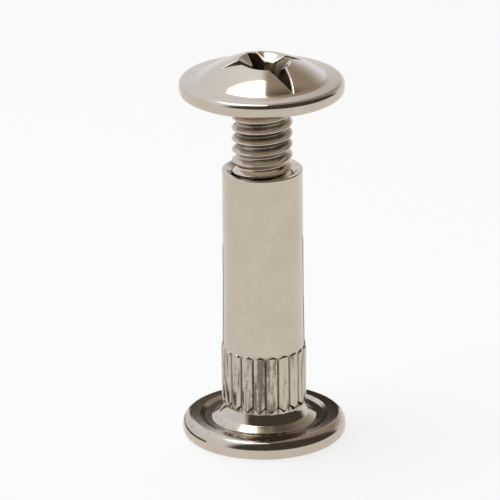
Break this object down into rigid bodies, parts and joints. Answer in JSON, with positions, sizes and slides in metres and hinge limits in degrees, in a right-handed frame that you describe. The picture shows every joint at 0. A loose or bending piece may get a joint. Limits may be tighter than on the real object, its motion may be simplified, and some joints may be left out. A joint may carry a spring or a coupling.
{
  "type": "binding barrel screw",
  "caption": "Flanged barrel nut with a fluted neck and a domed cross-recess screw that runs into it, clamping boards or sheets between the two flanges.",
  "frame": {"origin": "centre of the barrel nut's flange, on its outer face", "axes": "+Z along the common axis of barrel and screw, from the flange towards the screw's head; X and Y are square to it, and the recess's arms stand 31 degrees round from them"},
  "size_m": [0.016, 0.016, 0.0386],
  "materials": {
    "nickel_plate": "bright nickel plate on steel, warm in tone, duller on the rolled ribs of the neck"
  },
  "bodies": {
    "barrel": {"barrel_nut": "nickel_plate"},
    "screw": {"screw": "nickel_plate"}
  },
  "joints": [
    {"name": "screw_travel", "type": "slide", "parent": "barrel", "child": "screw", "axis": [0, 0, 1], "range_m": [-0.0077, 0.0055]}
  ]
}
